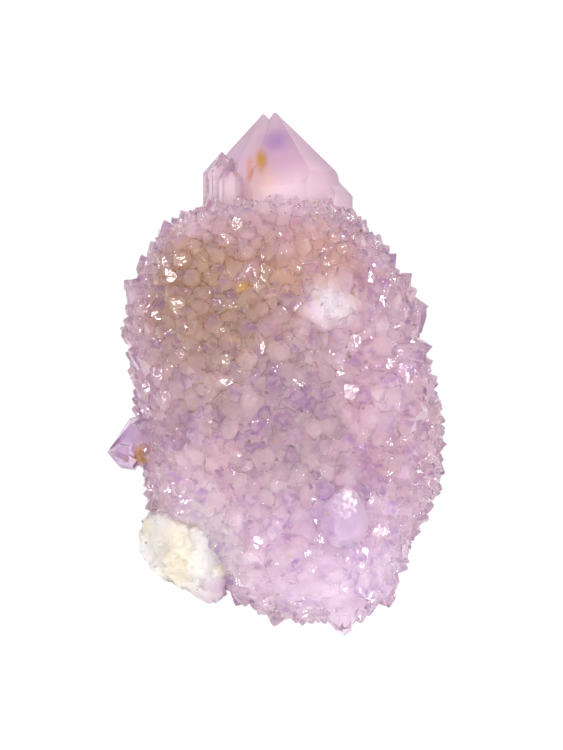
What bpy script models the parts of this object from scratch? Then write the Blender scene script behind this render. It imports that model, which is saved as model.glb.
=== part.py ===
"""Spirit quartz cluster, lying on its side with its large point towards +Y.

A spirit quartz is one large quartz point whose sides are grown over by a crust
of small crystals. It grew as one piece, so it is one closed solid here: the
body with its crust, the large points at the tip, the bigger crystals that
stand out of the crust, and the broken milky lump beside the base. It rests on
a flat contact face in z = 0.

Metres, +Z up. Sizes below are in millimetres and are scaled once, at the end.
"""

import math

import bmesh
import bpy
import numpy as np
from mathutils import Matrix, Vector

MM = 0.001
NODE_NAME = "spirit_quartz_cluster"

# Overall form of the body under the crust: an egg along Y, wider towards its base
BODY_TOP_Y = 28.4
BODY_BASE_Y = -39.6
BODY_MID_Y = (BODY_TOP_Y + BODY_BASE_Y) / 2
BODY_HALF_LENGTH = (BODY_TOP_Y - BODY_BASE_Y) / 2
BODY_AXIS_Z = 19.0

# Stations along Y: y, centre x, and the half width and half depth that an
# ellipsoid of this length would need at its middle to fit the body there
BODY_STATIONS = (
    (28.4, -1.0, 42.0, 36.0),
    (26.6, -1.2, 35.0, 32.0),
    (24.0, -1.8, 30.0, 28.0),
    (20.0, -2.1, 27.2, 25.0),
    (16.0, -1.6, 26.6, 23.4),
    (10.0, -0.7, 25.1, 21.6),
    (4.0, -0.2, 23.8, 20.9),
    (-2.0, 1.1, 23.9, 20.6),
    (-10.0, 2.3, 24.2, 20.6),
    (-19.0, 1.9, 24.8, 21.0),
    (-29.0, 2.4, 24.9, 22.0),
    (-35.0, 5.7, 24.6, 24.5),
    (-38.0, 6.3, 31.0, 28.0),
    (-39.6, 6.4, 40.0, 34.0),
)

# Low swells of the body: height, wavelength and number of waves
SWELL_HEIGHT = 0.55
SWELL_WAVELENGTHS = (11.0, 26.0)
SWELL_COUNT = 7

# The crust of small crystals
CRUST_SEED = 11
CRUST_SPACING = 2.16
CRUST_SPACING_SPREAD = 0.12
CRUST_TRIALS = 26000
CRUST_EVENING_STEPS = 1
CRUST_RISE = 1.1
CRUST_LEAN = 0.3
CRUST_GROWTH_LEAN = 0.12
VALLEY_DEPTH = 0.45
HIDDEN_SPACING = 2.1
TOP_EDGE_Y = 24.0

# Quartz: a termination face leans 38.2 degrees from the crystal's axis
FACE_TO_AXIS = math.radians(38.2)

# The large points at the tip. First row: tip x, y, z, turn about Z from +Y
# towards -X and angle of the end faces to the axis in degrees, and root y. Then
# two rows of six, from the front face round over -X: how far each prism face
# lies from the axis, and how far each end face is set out past the tip.
TIP_CRYSTALS = (
    (
        (-0.4, 42.0, 19.0, 5.5, 36.2, 6.0),
        (9.1, 8.6, 8.8, 9.0, 8.3, 7.9),
        (0.0, 0.1, 0.0, 0.4, 0.2, 0.2),
    ),
    (
        (-2.2, 41.8, 18.8, -2.0, 36.2, 8.0),
        (6.3, 6.4, 6.2, 6.0, 6.3, 6.3),
        (0.0, 0.0, 0.1, 0.6, 0.3, 0.2),
    ),
    (
        (-8.9, 35.4, 21.6, 0.0, 37.0, 20.0),
        (2.7, 2.6, 2.6, 2.8, 2.7, 2.7),
        (0.0, 0.0, 0.0, 0.2, 0.1, 0.0),
    ),
    (
        (-7.3, 34.2, 23.4, 0.0, 35.0, 20.0),
        (2.5, 2.5, 2.4, 2.5, 2.6, 2.5),
        (0.0, 0.0, 0.1, 0.0, 0.2, 0.0),
    ),
    (
        (6.5, 34.4, 17.4, 0.0, 40.0, 12.0),
        (5.0, 5.0, 5.2, 4.8, 5.0, 5.0),
        (0.0, 0.2, 0.0, 0.3, 0.0, 0.1),
    ),
    (
        (1.2, 33.6, 13.0, 2.0, 39.0, 12.0),
        (6.4, 6.6, 6.0, 6.4, 6.6, 6.2),
        (0.3, 0.0, 0.5, 0.0, 0.3, 0.0),
    ),
    (
        (-6.4, 32.4, 13.6, -3.0, 38.0, 14.0),
        (3.6, 3.5, 3.8, 3.4, 3.6, 3.7),
        (0.0, 0.3, 0.0, 0.2, 0.0, 0.1),
    ),
)

# Bigger crystals of the crust: y of the foot, angle round the body (0 is +X,
# 90 the top), apothem, standout of the tip, and lean towards +Y in degrees
CRUST_CRYSTALS = (
    (-11.3, 178.0, 4.1, 6.1, -9.0),
    (13.0, 176.0, 2.7, 2.9, 20.0),
    (17.3, 175.0, 2.3, 2.0, 35.0),
    (6.4, 180.0, 2.0, 1.8, 0.0),
    (0.6, 181.0, 1.9, 1.2, 8.0),
    (-5.0, 180.0, 1.9, 1.4, 5.0),
    (8.8, 2.0, 2.9, 3.1, 18.0),
    (1.4, -4.0, 1.9, 2.0, 4.0),
    (14.0, 8.0, 2.3, 2.4, 25.0),
    (-20.0, 67.5, 5.4, 3.0, 52.0),
    (-28.0, 108.0, 2.6, 2.4, 25.0),
    (-24.5, 117.0, 2.7, 1.9, 20.0),
    (-17.0, 38.0, 2.3, 2.2, -20.0),
    (6.4, 78.0, 1.8, 1.9, 0.0),
    (-15.8, 0.0, 1.9, 1.6, -12.0),
    (-35.8, 16.0, 3.0, 2.2, -40.0),
    (-38.4, 62.0, 3.0, 3.3, -80.0),
    (-38.9, 130.0, 2.6, 1.1, -78.0),
    (-20.0, 205.0, 3.0, 2.8, -14.0),
    (8.0, 232.0, 2.6, 2.6, 8.0),
    (-27.0, 318.0, 3.2, 2.9, -24.0),
    (4.0, 322.0, 2.7, 2.6, 10.0),
    (-34.5, 262.0, 2.8, 2.6, -50.0),
)
CRUST_CRYSTAL_ROOT = 5.0

# The broken milky lump beside the base: a rough ellipsoid and the breaks that
# were struck off it, each as a direction and its distance from the centre
LUMP_CENTRE = (-14.6, -29.4, 21.0)
LUMP_HALF_SIZES = (8.8, 9.2, 12.5)
LUMP_ROUGHNESS = 0.05
LUMP_SUBDIVISIONS = 3
LUMP_SEED = 5
LUMP_BREAKS = (
    ((-1.0, 0.1, 0.1), 7.5),
    ((-0.83, -0.55, 0.0), 5.7),
    ((-0.48, -0.88, 0.1), 5.1),
    ((0.9, -0.4, 0.2), 6.8),
    ((-0.1, 0.1, 1.0), 10.4),
    ((-0.75, 0.1, 0.65), 8.2),
    ((-0.3, -0.75, 0.6), 7.8),
    ((0.4, -0.3, 0.85), 10.2),
    ((-0.5, -0.5, -0.7), 7.6),
    ((-0.7, 0.2, -0.7), 8.2),
    ((0.1, 0.9, 0.5), 8.2),
)


def along(y, column):
    """A station column at heights y: a cubic Hermite curve through the stations."""
    stations = np.array(BODY_STATIONS)[::-1]
    at, value = stations[:, 0], stations[:, column]
    slope = np.gradient(value, at)
    k = np.clip(np.searchsorted(at, y) - 1, 0, len(at) - 2)
    step = at[k + 1] - at[k]
    t = np.clip((y - at[k]) / step, 0, 1)
    rise = value[k + 1] - value[k]
    first = slope[k] * step
    last = slope[k + 1] * step
    return (
        value[k]
        + first * t
        + (3 * rise - 2 * first - last) * t**2
        + (first + last - 2 * rise) * t**3
    )


def swell(points):
    """Low swells: a sum of plane sine waves in fixed random directions."""
    chance = np.random.default_rng(CRUST_SEED)
    directions = chance.normal(size=(SWELL_COUNT, 3))
    directions /= np.linalg.norm(directions, axis=1, keepdims=True)
    lengths = chance.uniform(*SWELL_WAVELENGTHS, SWELL_COUNT)
    phases = chance.uniform(0, 2 * math.pi, SWELL_COUNT)
    waves = np.sin(points @ directions.T * (2 * math.pi / lengths) + phases)
    return SWELL_HEIGHT * waves.sum(axis=1) / math.sqrt(SWELL_COUNT / 2)


def on_body(directions):
    """Points of the body's surface for unit vectors: a sphere stretched by the stations."""
    y = BODY_MID_Y + BODY_HALF_LENGTH * directions[:, 1]
    wide = along(y, 2)
    deep = along(y, 3)
    points = np.stack(
        [along(y, 1) + wide * directions[:, 0], y, BODY_AXIS_Z + deep * directions[:, 2]],
        axis=1,
    )
    normals = directions / np.stack([wide, np.full_like(y, BODY_HALF_LENGTH), deep], axis=1)
    normals /= np.linalg.norm(normals, axis=1, keepdims=True)
    return points + normals * swell(points)[:, None], normals


def body_direction(y, angle):
    """The unit vector that on_body takes for a height y and an angle round the body."""
    up = (y - BODY_MID_Y) / BODY_HALF_LENGTH
    out = math.sqrt(max(1 - up * up, 0))
    return np.array([[out * math.cos(angle), up, out * math.sin(angle)]])


def hidden(points):
    """True where the crust ends up inside the tip crystals or the lump, or under the contact face."""
    from_lump = (points - np.array(LUMP_CENTRE)) / np.array(LUMP_HALF_SIZES)
    in_lump = (from_lump**2).sum(axis=1) < 0.6
    return in_lump | (points[:, 1] > BODY_TOP_Y - 1.0) | (points[:, 2] < -0.2)


def crust_sites():
    """Unit vectors of the small crystals: points thrown at random that keep their distance."""
    chance = np.random.default_rng(CRUST_SEED)
    thrown = chance.normal(size=(CRUST_TRIALS, 3))
    thrown /= np.linalg.norm(thrown, axis=1, keepdims=True)
    points, _ = on_body(thrown)
    spread = 1 + CRUST_SPACING_SPREAD * np.sin(points @ np.array([0.31, 0.23, 0.27]))
    spacing = CRUST_SPACING * spread * chance.uniform(0.86, 1.14, CRUST_TRIALS)
    spacing[hidden(points)] *= HIDDEN_SPACING
    kept = np.empty((CRUST_TRIALS, 3))
    chosen = []
    for i, point in enumerate(points):
        near = kept[: len(chosen)] - point
        if len(chosen) and (np.einsum("ij,ij->i", near, near) < spacing[i] ** 2).any():
            continue
        kept[len(chosen)] = point
        chosen.append(i)
    return thrown[chosen], chance


def joined_neighbours(directions):
    """Triangles that join neighbouring sites into one closed surface."""
    points, _ = on_body(directions)
    mesh = bmesh.new()
    for direction in directions:
        mesh.verts.new(direction)
    mesh.verts.ensure_lookup_table()
    bmesh.ops.convex_hull(mesh, input=mesh.verts[:])
    mesh.verts.index_update()
    for vertex, point in zip(mesh.verts, points):
        vertex.co = point
    bmesh.ops.beautify_fill(mesh, faces=mesh.faces[:], edges=mesh.edges[:], method="ANGLE")
    bmesh.ops.recalc_face_normals(mesh, faces=mesh.faces[:])
    mesh.faces.index_update()
    return mesh


def evened(directions, net):
    """Sites moved part of the way to the middle of their neighbours, so that cells grow alike."""
    around = [[edge.other_vert(vertex).index for edge in vertex.link_edges] for vertex in net.verts]
    for _ in range(CRUST_EVENING_STEPS):
        middles = np.array([directions[near].mean(axis=0) for near in around])
        directions = directions + middles
        directions /= np.linalg.norm(directions, axis=1, keepdims=True)
    return directions


def crusted_body():
    """The body with its crust: each site's cell of the surface is raised to a flat-sided point."""
    directions, chance = crust_sites()
    net = joined_neighbours(directions)
    directions = evened(directions, net)
    points, normals = on_body(directions)
    for vertex, point in zip(net.verts, points):
        vertex.co = point
    body = bmesh.new()
    valleys = []
    for face in net.faces:
        corners = [vertex.index for vertex in face.verts]
        middle = points[corners].mean(axis=0)
        out = normals[corners].mean(axis=0)
        depth = VALLEY_DEPTH * chance.uniform(0.1, 1.0)
        valleys.append(body.verts.new(Vector(middle - out * depth)))
    for site, vertex in enumerate(net.verts):
        ring = [loop.face.index for loop in ordered_loops(vertex)]
        size = math.sqrt(np.mean([edge.calc_length() ** 2 for edge in vertex.link_edges])) / 2
        lean = chance.normal(scale=CRUST_LEAN, size=3)
        axis = normals[site] + lean + np.array([0.0, CRUST_GROWTH_LEAN, 0.0])
        axis /= np.linalg.norm(axis)
        taper = np.clip((points[site][1] - TOP_EDGE_Y) / (BODY_TOP_Y - TOP_EDGE_Y), 0, 1)
        rise = CRUST_RISE * size * chance.uniform(0.5, 1.2) * (1 - 0.7 * taper)
        tip = body.verts.new(Vector(points[site] + axis * rise))
        for first, second in zip(ring, ring[1:] + ring[:1]):
            body.faces.new((tip, valleys[first], valleys[second]))
    net.free()
    bmesh.ops.recalc_face_normals(body, faces=body.faces[:])
    return body


def ordered_loops(vertex):
    """The face corners round a vertex, in order."""
    start = vertex.link_loops[0]
    loops = [start]
    step = start.link_loop_prev.link_loop_radial_next
    while step != start:
        loops.append(step)
        step = step.link_loop_prev.link_loop_radial_next
    return loops


def cut_by_planes(mesh, planes):
    """Leaves what lies behind every plane and closes each cut with one flat face."""
    for point, normal in planes:
        parts = mesh.verts[:] + mesh.edges[:] + mesh.faces[:]
        cut = bmesh.ops.bisect_plane(
            mesh, geom=parts, dist=1e-5, plane_co=point, plane_no=normal, clear_outer=True
        )
        rim = [part for part in cut["geom_cut"] if isinstance(part, bmesh.types.BMEdge)]
        if rim:
            bmesh.ops.edgeloop_fill(mesh, edges=rim)


def crystal(tip, axis, face_angle, length, roll, apothems, setbacks):
    """A six-sided prism with six end faces, every face set at its own distance."""
    axis = Vector(axis).normalized()
    side = Vector((0, 0, 1)) if abs(axis.z) < 0.9 else Vector((0, 1, 0))
    side = (side - axis * side.dot(axis)).normalized()
    mesh = bmesh.new()
    bmesh.ops.create_cube(mesh, size=2 * length)
    bmesh.ops.translate(mesh, verts=mesh.verts[:], vec=Vector(tip) - axis * length)
    planes = [(Vector(tip) - axis * length, -axis)]
    for k, (apothem, setback) in enumerate(zip(apothems, setbacks)):
        out = Matrix.Rotation(roll - k * math.pi / 3, 3, axis) @ side
        planes.append((Vector(tip) + out * apothem, out))
        normal = (axis * math.sin(face_angle) + out * math.cos(face_angle)).normalized()
        planes.append((Vector(tip) + normal * setback, normal))
    cut_by_planes(mesh, planes)
    bmesh.ops.recalc_face_normals(mesh, faces=mesh.faces[:])
    return mesh


def tip_crystals():
    """The large, nearly parallel points at the tip."""
    for (x, y, z, turn, angle, root), apothems, setbacks in TIP_CRYSTALS:
        turned = math.radians(turn)
        axis = (-math.sin(turned), math.cos(turned), 0)
        yield crystal((x, y, z), axis, math.radians(angle), y - root, 0.0, apothems, setbacks)


def crust_crystals():
    """The bigger crystals that stand out of the crust."""
    chance = np.random.default_rng(8)
    for y, angle, apothem, standout, lean in CRUST_CRYSTALS:
        foot, normal = on_body(body_direction(y, math.radians(angle)))
        turned = math.radians(lean)
        axis = normal[0] * math.cos(turned) + np.array([0, math.sin(turned), 0])
        axis /= np.linalg.norm(axis)
        tip = foot[0] + axis * standout
        length = standout + CRUST_CRYSTAL_ROOT
        roll = chance.uniform(0, 1)
        apothems = apothem * chance.uniform(0.88, 1.04, 6)
        setbacks = apothem * chance.uniform(0, 0.2, 6)
        yield crystal(tip, axis, FACE_TO_AXIS, length, roll, apothems, setbacks)


def milky_lump():
    """The broken lump: a rough ellipsoid with flat breaks struck off it."""
    chance = np.random.default_rng(LUMP_SEED)
    mesh = bmesh.new()
    bmesh.ops.create_icosphere(mesh, subdivisions=LUMP_SUBDIVISIONS, radius=1.0)
    for vertex in mesh.verts:
        vertex.co *= 1 + chance.uniform(-LUMP_ROUGHNESS, LUMP_ROUGHNESS)
    bmesh.ops.scale(mesh, vec=LUMP_HALF_SIZES, verts=mesh.verts[:])
    for direction, distance in LUMP_BREAKS:
        normal = Vector(direction).normalized()
        cut_by_planes(mesh, [(normal * distance, normal)])
    bmesh.ops.translate(mesh, verts=mesh.verts[:], vec=LUMP_CENTRE)
    bmesh.ops.triangulate(mesh, faces=mesh.faces[:])
    bmesh.ops.recalc_face_normals(mesh, faces=mesh.faces[:])
    return mesh


def as_object(name, mesh):
    """Turns a bmesh in millimetres into an object in the scene, in metres."""
    bmesh.ops.scale(mesh, vec=(MM, MM, MM), verts=mesh.verts[:])
    data = bpy.data.meshes.new(name)
    mesh.to_mesh(data)
    mesh.free()
    obj = bpy.data.objects.new(name, data)
    bpy.context.scene.collection.objects.link(obj)
    return obj


def joined_with(host, grown):
    """Fuses each grown crystal with the host by a Boolean union."""
    for name, mesh in grown:
        helper = as_object(name, mesh)
        helper.hide_render = True
        helper.display_type = "WIRE"
        union = host.modifiers.new(name, "BOOLEAN")
        union.operation = "UNION"
        union.solver = "EXACT"
        union.object = helper


def cut_flat(host):
    """Takes away what lies below the contact face."""
    block = bmesh.new()
    bmesh.ops.create_cube(block, size=1.0)
    bmesh.ops.scale(block, vec=(120, 120, 30), verts=block.verts[:])
    bmesh.ops.translate(block, verts=block.verts[:], vec=(0, 0, -15))
    cutter = as_object("contact_face_cutter", block)
    cutter.hide_render = True
    cutter.display_type = "WIRE"
    cut = host.modifiers.new("contact_face", "BOOLEAN")
    cut.operation = "DIFFERENCE"
    cut.solver = "EXACT"
    cut.object = cutter


def quartz_material():
    """Pale lilac quartz."""
    material = bpy.data.materials.new("milky_amethyst")
    material.use_nodes = True
    shader = material.node_tree.nodes["Principled BSDF"]
    shader.inputs["Base Color"].default_value = (0.58, 0.40, 0.52, 1)
    shader.inputs["Roughness"].default_value = 0.2
    shader.inputs["Metallic"].default_value = 0.0
    return material


def main():
    for obj in list(bpy.data.objects):
        bpy.data.objects.remove(obj)
    cluster = as_object(NODE_NAME, crusted_body())
    cluster.data.materials.append(quartz_material())
    grown = [(f"tip_crystal_{k + 1}", mesh) for k, mesh in enumerate(tip_crystals())]
    grown += [(f"crust_crystal_{k + 1}", mesh) for k, mesh in enumerate(crust_crystals())]
    grown.append(("milky_lump", milky_lump()))
    joined_with(cluster, grown)
    cut_flat(cluster)


main()
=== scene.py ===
"""Looks of a spirit quartz cluster: a large quartz point whose sides are overgrown by small crystals.

Every crystal is a six-sided prism with six end faces, worked out as whole arrays. The body, the crust, the
large points, the side crystals and the broken milky lump are then fused into one closed mesh, which
replaces the plain solid of the frame. Lengths are in millimetres until the fused mesh is written in metres.
"""

import math

import bpy
import numpy as np
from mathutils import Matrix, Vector


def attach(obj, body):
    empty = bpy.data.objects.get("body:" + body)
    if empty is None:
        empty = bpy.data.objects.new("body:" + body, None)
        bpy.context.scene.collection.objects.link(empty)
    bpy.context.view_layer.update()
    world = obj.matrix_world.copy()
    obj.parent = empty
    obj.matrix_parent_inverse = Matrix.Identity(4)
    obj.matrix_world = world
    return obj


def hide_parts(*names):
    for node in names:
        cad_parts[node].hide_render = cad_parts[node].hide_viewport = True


bl_info = {
    "name": "Spirit Quartz Cluster",
    "version": (1, 0, 0),
    "blender": (4, 5, 0),
    "location": "3D View > Sidebar > Spirit Quartz",
    "description": "Grows a spirit quartz cluster, its crystals and its finish, over the plain solid",
    "category": "Object",
}

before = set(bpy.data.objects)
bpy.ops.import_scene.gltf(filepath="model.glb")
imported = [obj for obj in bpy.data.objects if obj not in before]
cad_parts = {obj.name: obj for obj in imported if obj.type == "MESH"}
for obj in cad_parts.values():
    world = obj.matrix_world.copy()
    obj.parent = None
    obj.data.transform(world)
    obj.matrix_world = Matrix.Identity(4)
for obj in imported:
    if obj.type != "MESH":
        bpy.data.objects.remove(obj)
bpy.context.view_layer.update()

NODE = "spirit_quartz_cluster"
BODY = "root"
MM = 0.001
SIXTH = math.pi / 3

# Overall form under the crust: an egg along Y. Stations: y, centre x, half width and half depth that an
# ellipsoid of this length would need at its middle to fit the body there
BODY_TOP_Y = 28.4
BODY_BASE_Y = -39.6
BODY_AXIS_Z = 19.0
BODY_STATIONS = (
    (28.4, -1.0, 42.0, 36.0),
    (26.6, -1.2, 35.0, 32.0),
    (24.0, -1.8, 30.0, 28.0),
    (20.0, -2.1, 27.2, 25.0),
    (16.0, -1.6, 26.6, 23.4),
    (10.0, -0.7, 25.1, 21.6),
    (4.0, -0.2, 23.8, 20.9),
    (-2.0, 1.1, 23.9, 20.6),
    (-10.0, 2.3, 24.2, 20.6),
    (-19.0, 1.9, 24.8, 21.0),
    (-29.0, 2.4, 24.9, 22.0),
    (-35.0, 5.7, 24.6, 24.5),
    (-38.0, 6.3, 31.0, 28.0),
    (-39.6, 6.4, 40.0, 34.0),
)
SWELL_SEED = 11
SWELL_HEIGHT = 0.55
SWELL_WAVELENGTHS = (11.0, 26.0)
SWELL_COUNT = 7
BODY_ROWS = 72
BODY_COLUMNS = 120

# The large points at the tip. First row: tip x, y, z, turn about Z from +Y towards -X and angle of the end
# faces to the axis in degrees, and root y. Then two rows of six, from the front face round over -X: how far
# each prism face lies from the axis, and how far each end face is set out past the tip
TIP_CRYSTALS = (
    (
        (-0.4, 42.0, 19.0, 5.5, 36.2, 6.0),
        (9.1, 8.6, 8.8, 9.0, 8.3, 7.9),
        (0.0, 0.1, 0.0, 0.4, 0.0, 0.2),
    ),
    (
        (-2.2, 41.8, 18.8, -2.0, 36.2, 8.0),
        (6.3, 6.4, 6.2, 6.0, 6.3, 6.3),
        (0.0, 0.05, 0.0, 0.6, 0.0, 0.2),
    ),
    (
        (-8.9, 35.4, 21.6, 0.0, 37.0, 20.0),
        (2.7, 2.6, 2.6, 2.8, 2.7, 2.7),
        (0.0, 0.05, 0.0, 0.2, 0.0, 0.1),
    ),
    (
        (-7.3, 34.2, 23.4, 0.0, 35.0, 20.0),
        (2.5, 2.5, 2.4, 2.5, 2.6, 2.5),
        (0.0, 0.05, 0.0, 0.1, 0.0, 0.1),
    ),
    (
        (6.5, 34.4, 17.4, 0.0, 40.0, 12.0),
        (5.0, 5.0, 5.2, 4.8, 5.0, 5.0),
        (0.0, 0.2, 0.0, 0.3, 0.0, 0.1),
    ),
    (
        (1.2, 33.6, 13.0, 2.0, 39.0, 12.0),
        (6.4, 6.6, 6.0, 6.4, 6.6, 6.2),
        (0.0, 0.1, 0.0, 0.2, 0.0, 0.1),
    ),
    (
        (-6.4, 32.4, 13.6, -3.0, 38.0, 14.0),
        (3.6, 3.5, 3.8, 3.4, 3.6, 3.7),
        (0.0, 0.3, 0.0, 0.2, 0.0, 0.1),
    ),
)

# Bigger crystals of the crust: y of the foot, angle round the body (0 is +X, 90 the top), distance of the
# prism faces from the axis, standout of the tip, and lean towards +Y in degrees
SIDE_CRYSTALS = (
    (-11.3, 178.0, 4.1, 6.1, -9.0),
    (13.0, 176.0, 2.7, 2.9, 20.0),
    (17.3, 175.0, 2.3, 2.0, 35.0),
    (6.4, 180.0, 2.0, 1.8, 0.0),
    (0.6, 181.0, 1.9, 1.2, 8.0),
    (-5.0, 180.0, 1.9, 1.4, 5.0),
    (8.8, 2.0, 2.9, 3.1, 18.0),
    (1.4, -4.0, 1.9, 2.0, 4.0),
    (14.0, 8.0, 2.3, 2.4, 25.0),
    (-20.0, 67.5, 5.4, 3.0, 52.0),
    (-28.0, 108.0, 2.6, 2.4, 25.0),
    (-24.5, 117.0, 2.7, 1.9, 20.0),
    (-17.0, 38.0, 2.3, 2.2, -20.0),
    (6.4, 78.0, 1.8, 1.9, 0.0),
    (-15.8, 0.0, 1.9, 1.6, -12.0),
    (-35.8, 16.0, 3.0, 2.2, -40.0),
    (-38.4, 62.0, 3.0, 3.3, -80.0),
    (-38.9, 130.0, 2.6, 1.1, -78.0),
    (-20.0, 205.0, 3.0, 2.8, -14.0),
    (8.0, 232.0, 2.6, 2.6, 8.0),
    (-27.0, 318.0, 3.2, 2.9, -24.0),
    (4.0, 322.0, 2.7, 2.6, 10.0),
    (-34.5, 262.0, 2.8, 2.6, -50.0),
)
SIDE_CRYSTAL_ROOT = 5.0
SIDE_CRYSTAL_SEED = 8
FACE_TO_AXIS = 38.2

# The broken milky lump: the breaks that bound it, each as a direction and its distance from the centre
LUMP_CENTRE = (-14.6, -29.4, 21.0)
LUMP_HALF_SIZES = (8.8, 9.2, 12.5)
LUMP_BREAKS = (
    ((-1.0, 0.1, 0.1), 7.5),
    ((-0.83, -0.55, 0.0), 5.7),
    ((-0.48, -0.88, 0.1), 5.1),
    ((0.9, -0.4, 0.2), 8.6),
    ((-0.1, 0.1, 1.0), 10.4),
    ((-0.75, 0.1, 0.65), 8.2),
    ((-0.3, -0.75, 0.6), 7.8),
    ((0.4, -0.3, 0.85), 11.6),
    ((-0.5, -0.5, -0.7), 7.6),
    ((-0.7, 0.2, -0.7), 8.2),
    ((0.1, 0.9, 0.5), 9.4),
)
LUMP_ROWS = 90
LUMP_COLUMNS = 130

# Chips on the breaks, coarse and fine: how many, their slope and their depth
LUMP_CHIPS = ((160, 0.3, 0.4), (1200, 0.35, 0.12))
CHIP_REACH = 9.0
CHIP_WAVE, CHIP_WAVES = 0.03, 23.0
LEAST_FACING = 0.02
LUMP_FOOT_SHARE = 0.8

# The crust and the smaller crystals between: leans as shares of the normal, widths as shares of a cell's
CRUST_LEAN = 0.22
CRUST_TOWARDS_POINT = 0.15
CRUST_WIDTHS = (1.05, 1.4)
CRUST_ROOT = 2.2
CRUST_REACHES, CRUST_LEAST_REACH, CRUST_OFF_LUMP = (0.8, 1.7), 0.55, 1.27
TIP_STANDS, TIP_LOWEST = 0.15, 0.6
UNEVEN_FACES, SET_OUT_EACH, SET_OUT_FACE = (0.84, 1.16), (0.0, 0.4), (0.0, 0.25)
SMALL_SIZES, SMALL_HEIGHTS = (0.6, 1.3), (0.1, 1.0)
GRAIN_SIZES, GRAIN_HEIGHTS = (0.25, 0.5), (0.0, 0.6)
FINER_BETWEEN, FINEST_SHARE = (10.0, 22.0), 0.66
SMALL_SHAKE = 0.012
SMALL_LEAN = 0.3
SMALL_OFF_LUMP, SMALL_LOWEST, SMALL_BELOW_TOP = 1.0, 0.3, 0.8
GROWTH_SEED = 21

PIECE = "quartz_cluster"
CORE = "milky_core"
BODY_SUNK = 0.45
CORE_FOOT = 0.6
CORE_SHARE, SIDE_DEPTH, LUMP_DEPTH = 0.6, 1.0, 0.45
FEWEST_FACES = 1000
LUMP_SEED = 5
SHADE_SEED = 4
QUARTZ_IOR = 1.544

# The photograph's frame in pixels, its scale on the cluster, and the pixel over the cluster's middle
PHOTO_PIXELS = (563, 750)
PHOTO_MM = 0.16185
PHOTO_AXIS_PIXEL = (277.0, 371.5)

# Discoloured patches, and on the lower end a paler patch of painted light: name, centre and reach in
# millimetres, how much of it shows in the milky core and in the clear quartz, how ragged its rim is, and its
# colour
STAINS_AND_PAINTED_LIGHT = (
    ("rosy", (0, 21, 36), (24, 8, 20), 0.85, 0, 0.35, (0.72, 0.43, 0.4)),
    ("golden brown", (-15, 13, 34), (13, 11, 14), 1.0, 0.3, 0.35, (0.56, 0.34, 0.12)),
    ("orange brown", (-1, 14.5, 40), (11, 8, 12), 1.0, 0, 0.35, (0.58, 0.27, 0.12)),
    ("salmon", (9, 19, 36), (11, 9, 12), 0.9, 0, 0.35, (0.74, 0.4, 0.28)),
    ("olive brown", (-11, 6, 38), (18, 18, 16), 1.0, 0, 0.35, (0.46, 0.28, 0.15)),
    ("grey mauve", (2, -8, 40), (13, 24, 14), 1.0, 0, 0.35, (0.5, 0.34, 0.36)),
    ("brown left", (-18, -4, 34), (9, 16, 14), 0.7, 0, 0.35, (0.58, 0.38, 0.36)),
    ("amber film", (-8, 11, 37), (24, 17, 18), 0, 0.55, 0.3, (0.86, 0.68, 0.52)),
    ("left crystal", (-25, -11.5, 20), (7, 8, 12), 0.7, 0.6, 0.1, (0.74, 0.6, 0.84)),
    # Painted light: the lower end is painted a paler lilac, standing in for the brighter light that falls
    # there
    ("bright lilac", (10, -33, 30), (32, 19, 22), 0.9, 0.9, 0.35, (1.0, 0.88, 0.98)),
    ("white", (9.4, 10.8, 40), (6.6, 5.2, 9), 1.0, 0, 0.25, (1.0, 0.94, 0.97)),
    ("whole point", (0, 38, 20), (24, 13, 26), 0.75, 0, 0.3, (0.7, 0.47, 0.6)),
    ("mauve veil", (-3.5, 36.5, 24), (3.6, 3.6, 12), 0.9, 0, 0.35, (0.62, 0.4, 0.52)),
    ("milky band", (0, 28.4, 24), (26, 4.4, 30), 0.95, 0.7, 0.15, (1.0, 0.88, 0.9)),
    ("purple cloud", (0.0, 37.3, 25), (3.2, 3.0, 8), 0.9, 0.8, 0.2, (0.5, 0.34, 0.72)),
    ("yellow tail", (-2.2, 30.6, 26), (2.2, 3.6, 8), 0.8, 0, 0.15, (0.85, 0.62, 0.35)),
    ("yellow spot", (-2.5, 34.0, 26), (1.3, 2.8, 8), 0.5, 1.0, 0.1, (0.72, 0.45, 0.02)),
    ("orange line", (-4.3, 32.2, 26), (0.8, 3.0, 8), 0.5, 0.8, 0.1, (0.8, 0.45, 0.25)),
    ("left spot", (-21.6, -13.4, 22), (2.0, 2.0, 8), 0.7, 0.9, 0.2, (0.85, 0.55, 0.1)),
    ("valley line", (-5.0, 13.2, 38), (1.8, 1.0, 6), 0.9, 0.7, 0.2, (0.85, 0.55, 0.1)),
    ("valley spot", (-6.8, 5.1, 39), (1.8, 0.8, 6), 0.9, 0, 0.2, (0.8, 0.6, 0.2)),
    ("valley trail", (12.2, 13.2, 36), (0.9, 2.6, 8), 0.9, 0, 0.2, (0.8, 0.6, 0.25)),
    ("smooth crystal", (9.8, -23.0, 36), (8, 7.5, 8), 0.8, 0.8, 0.1, (0.72, 0.59, 0.75)),
    ("lump's rim", (-11.5, -28.0, 31), (8.5, 12.5, 14), 0.95, 0.95, 0.2, (0.96, 0.91, 0.9)),
)

# The lump's own patches: centre, reach and colour
LUMP_YELLOW = ((-15.8, -30.0, 31), (3.2, 9.5, 14), (0.98, 0.93, 0.82))
LUMP_LILAC = ((-8.0, -36.0, 24), (5.0, 6.0, 16), (0.86, 0.7, 0.84))

# The crackled facet of the bigger crystal that lies in the crust
CRACKLE = ((9.9, -20.6, 37.0), (4.4, 3.8, 5.0), 0.1)

# The frosted white patch: centre, reach and raggedness, and its colour
FROST = ((9.4, 10.8, 40), (6.6, 5.2, 9), 0.25)
FROST_COLOUR = (1.0, 0.97, 0.98, 1.0)

# How finely each noise and random mesh repeats, in waves or cells to a metre
FLOOR_SCALE, CLOUD_SCALE, PATCH_SCALE, MILK_SCALE, FINE_SCALE = 12.0, 120.0, 300.0, 600.0, 900.0
SHARD_SCALE, GRAIN_SCALE = 1200.0, 1400.0

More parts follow.
